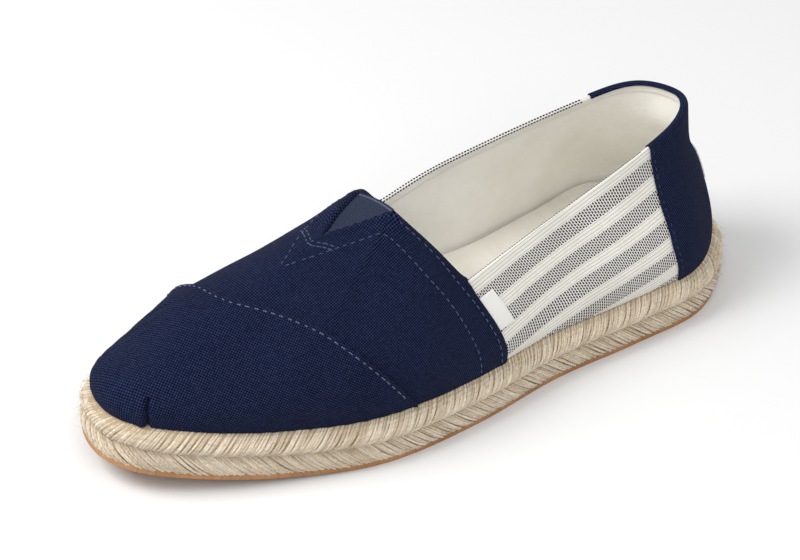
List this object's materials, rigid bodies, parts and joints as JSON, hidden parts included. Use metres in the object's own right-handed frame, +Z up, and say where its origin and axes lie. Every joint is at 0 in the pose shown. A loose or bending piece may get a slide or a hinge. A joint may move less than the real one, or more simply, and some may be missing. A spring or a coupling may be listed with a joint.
{
  "type": "espadrille",
  "caption": "Left slip-on espadrille with a canvas vamp and toe panel, striped cotton quarters, a heel counter and a braided rope sole over a thin rubber tread.",
  "frame": {"origin": "on the floor under the middle of the shoe's plan", "axes": "+X from the heel towards the toe, +Y towards the outer side of the foot, +Z up"},
  "size_m": [0.25, 0.0832, 0.0711],
  "materials": {
    "navy_canvas": "matte",
    "quarter_cotton": "matte",
    "elastic": "matte",
    "label_tape": "satin",
    "insole_cotton": "matte",
    "jute": "matte",
    "rubber": "satin"
  },
  "bodies": {
    "root": {"outsole": "rubber", "midsole": "jute", "insole": "insole_cotton", "upper": "navy_canvas", "toe_panel": "navy_canvas", "heel_counter": "navy_canvas", "throat_gore": "elastic", "side_tag": "label_tape", "heel_label": "label_tape"}
  },
  "joints": []
}
